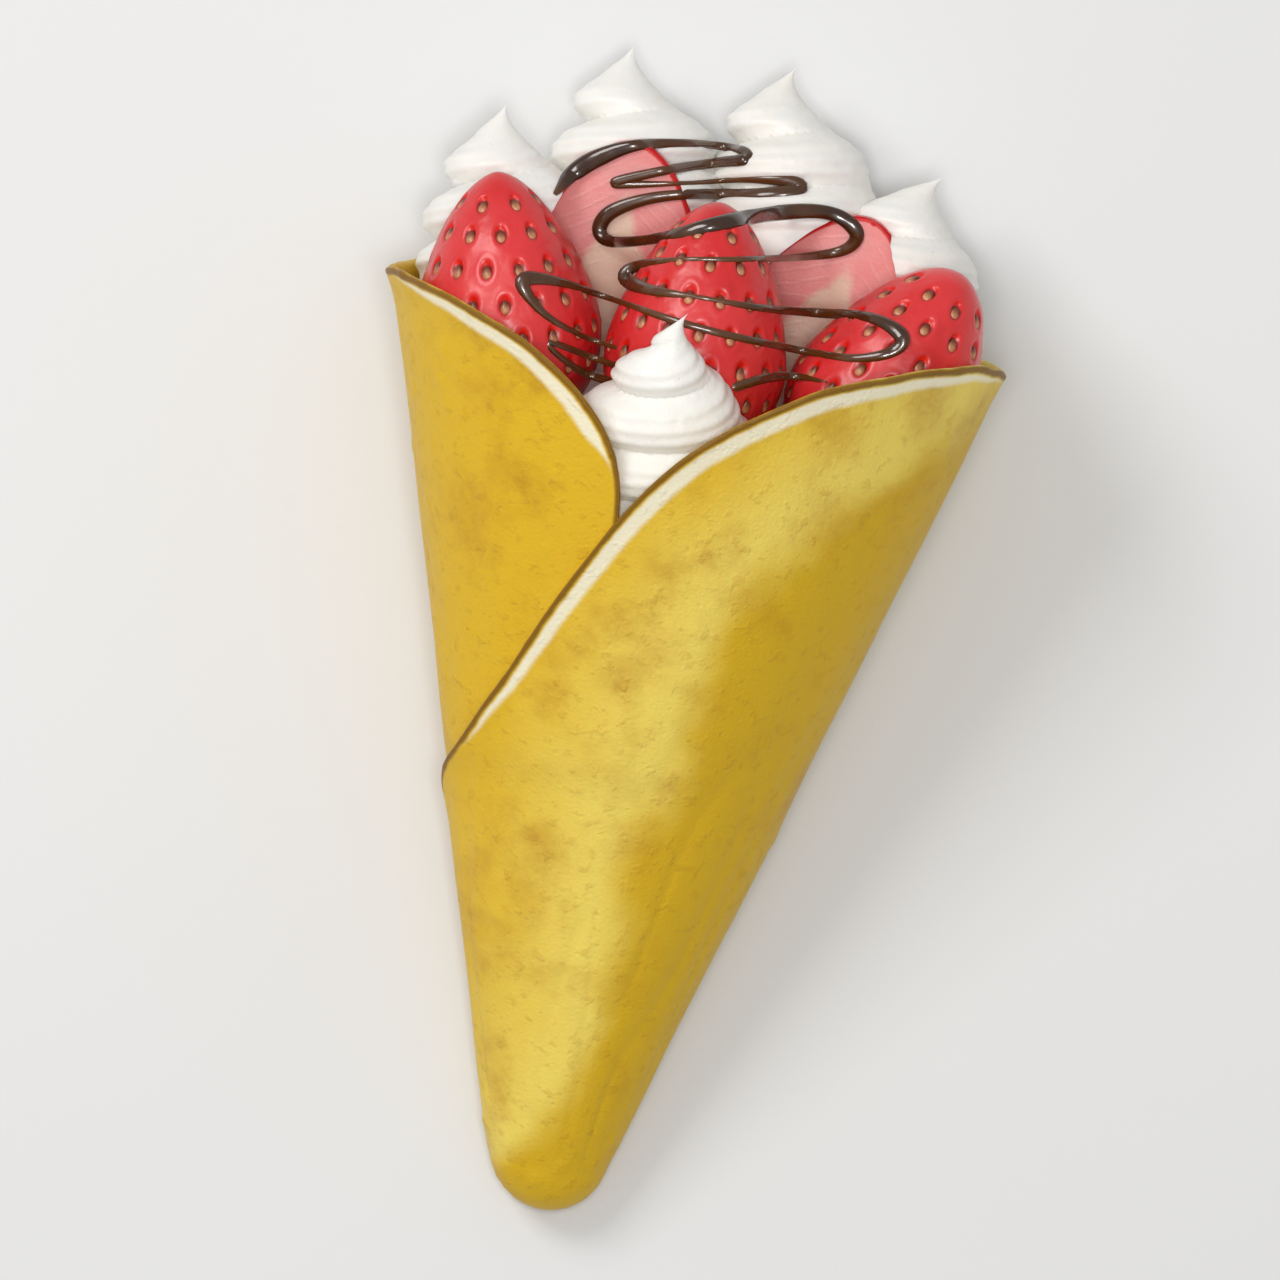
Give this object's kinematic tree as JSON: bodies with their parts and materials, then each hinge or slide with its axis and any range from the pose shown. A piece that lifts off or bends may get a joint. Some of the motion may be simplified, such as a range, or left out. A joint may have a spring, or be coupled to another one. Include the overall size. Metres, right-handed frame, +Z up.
{
  "type": "crepe cone",
  "caption": "Golden crepe rolled into a cone, filled with whipped cream swirls, whole and halved strawberries and a chocolate drizzle, lying on its back.",
  "frame": {"origin": "bottom centre of the bounding box: on the surface that the cone lies on, under the middle of its length and width", "axes": "+Y along the cone from its tip to its mouth, +X to the right seen from above, +Z up, out of the side that shows"},
  "size_m": [0.1118, 0.211, 0.0762],
  "materials": {
    "crepe": "soft golden-yellow crepe with light brown mottling",
    "cream": "satin white whipped cream",
    "strawberry": "glossy red strawberry skin with seeds",
    "strawberry_flesh": "moist pink cut strawberry with a pale core",
    "chocolate": "glossy dark chocolate sauce"
  },
  "bodies": {
    "root": {"crepe": "crepe", "cream_filling": "cream", "cream_swirl_left": "cream", "cream_swirl_mid_left": "cream", "cream_swirl_mid_right": "cream", "cream_swirl_right": "cream", "cream_swirl_front": "cream", "strawberry_left": "strawberry", "strawberry_middle": "strawberry", "strawberry_right": "strawberry", "strawberry_half_left": "strawberry_flesh", "strawberry_half_right": "strawberry_flesh"}
  },
  "joints": []
}
